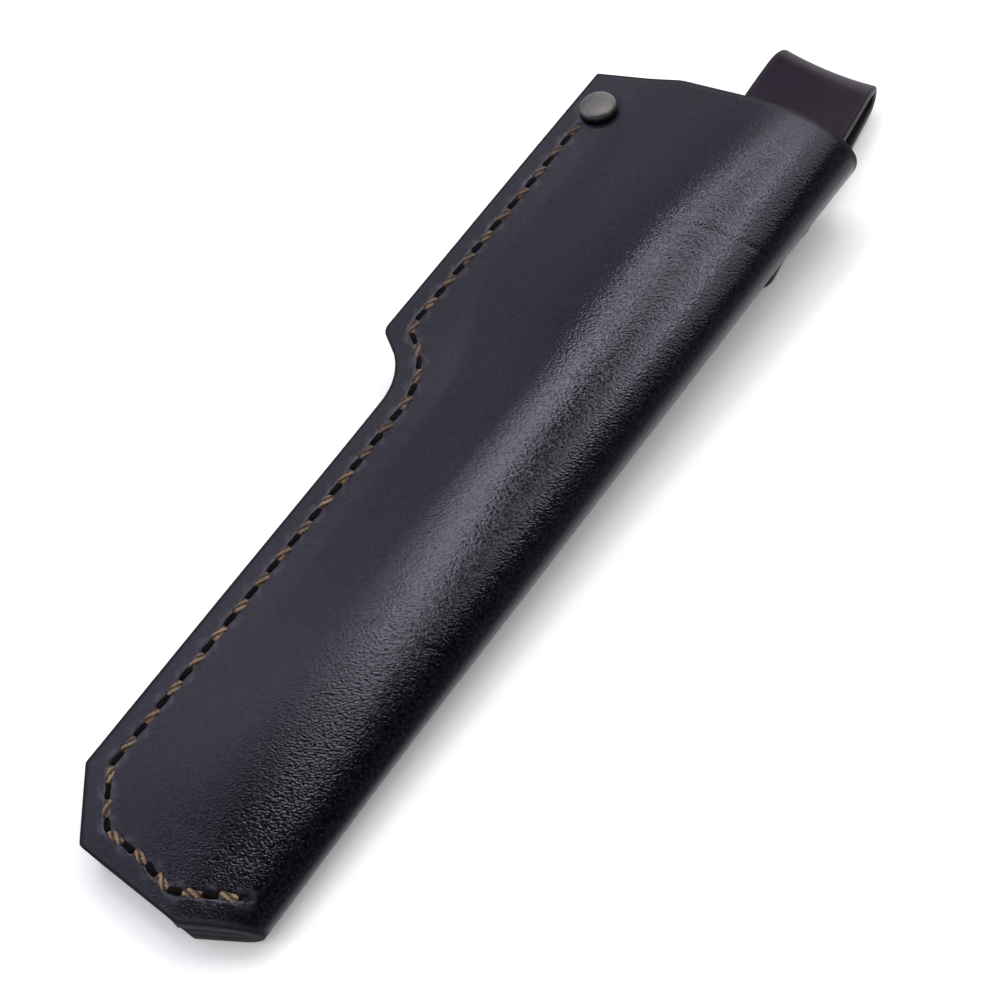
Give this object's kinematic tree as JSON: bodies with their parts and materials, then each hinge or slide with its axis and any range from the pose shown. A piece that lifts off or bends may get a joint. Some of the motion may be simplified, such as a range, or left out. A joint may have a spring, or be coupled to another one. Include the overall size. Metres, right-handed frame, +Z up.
{
  "type": "knife sheath",
  "caption": "Folded leather knife sheath with a stepped, welted and saddle-stitched edge, a cap rivet at its sloping mouth and a riveted belt loop behind.",
  "frame": {"origin": "middle of the bounding box, at the level of the table the sheath lies on", "axes": "+Y runs from the tip to the mouth and loop, +X from the stitched edge to the fold, +Z up from the table; the sheath lies on its back, on the tip and on the belt loop, so its plane rises by 3.5 degrees towards the mouth"},
  "size_m": [0.068, 0.2572, 0.0286],
  "materials": {
    "body_leather": "near-black, fine pebbled grain, satin",
    "welt_leather": "black, burnished edge",
    "strap_leather": "plum-brown, smooth, satin",
    "brown_waxed_thread": "waxed, twisted",
    "black_waxed_thread": "waxed, twisted",
    "rivet_metal": "dark nickel, soft polish"
  },
  "bodies": {
    "root": {"leather_body": "body_leather", "welt_strip": "welt_leather", "belt_loop_strap": "strap_leather", "brown_thread": "brown_waxed_thread", "black_thread": "black_waxed_thread", "mouth_rivet_cap": "rivet_metal", "mouth_rivet_post": "rivet_metal", "loop_rivet_1_cap": "rivet_metal", "loop_rivet_1_post": "rivet_metal", "loop_rivet_2_cap": "rivet_metal", "loop_rivet_2_post": "rivet_metal"}
  },
  "joints": []
}
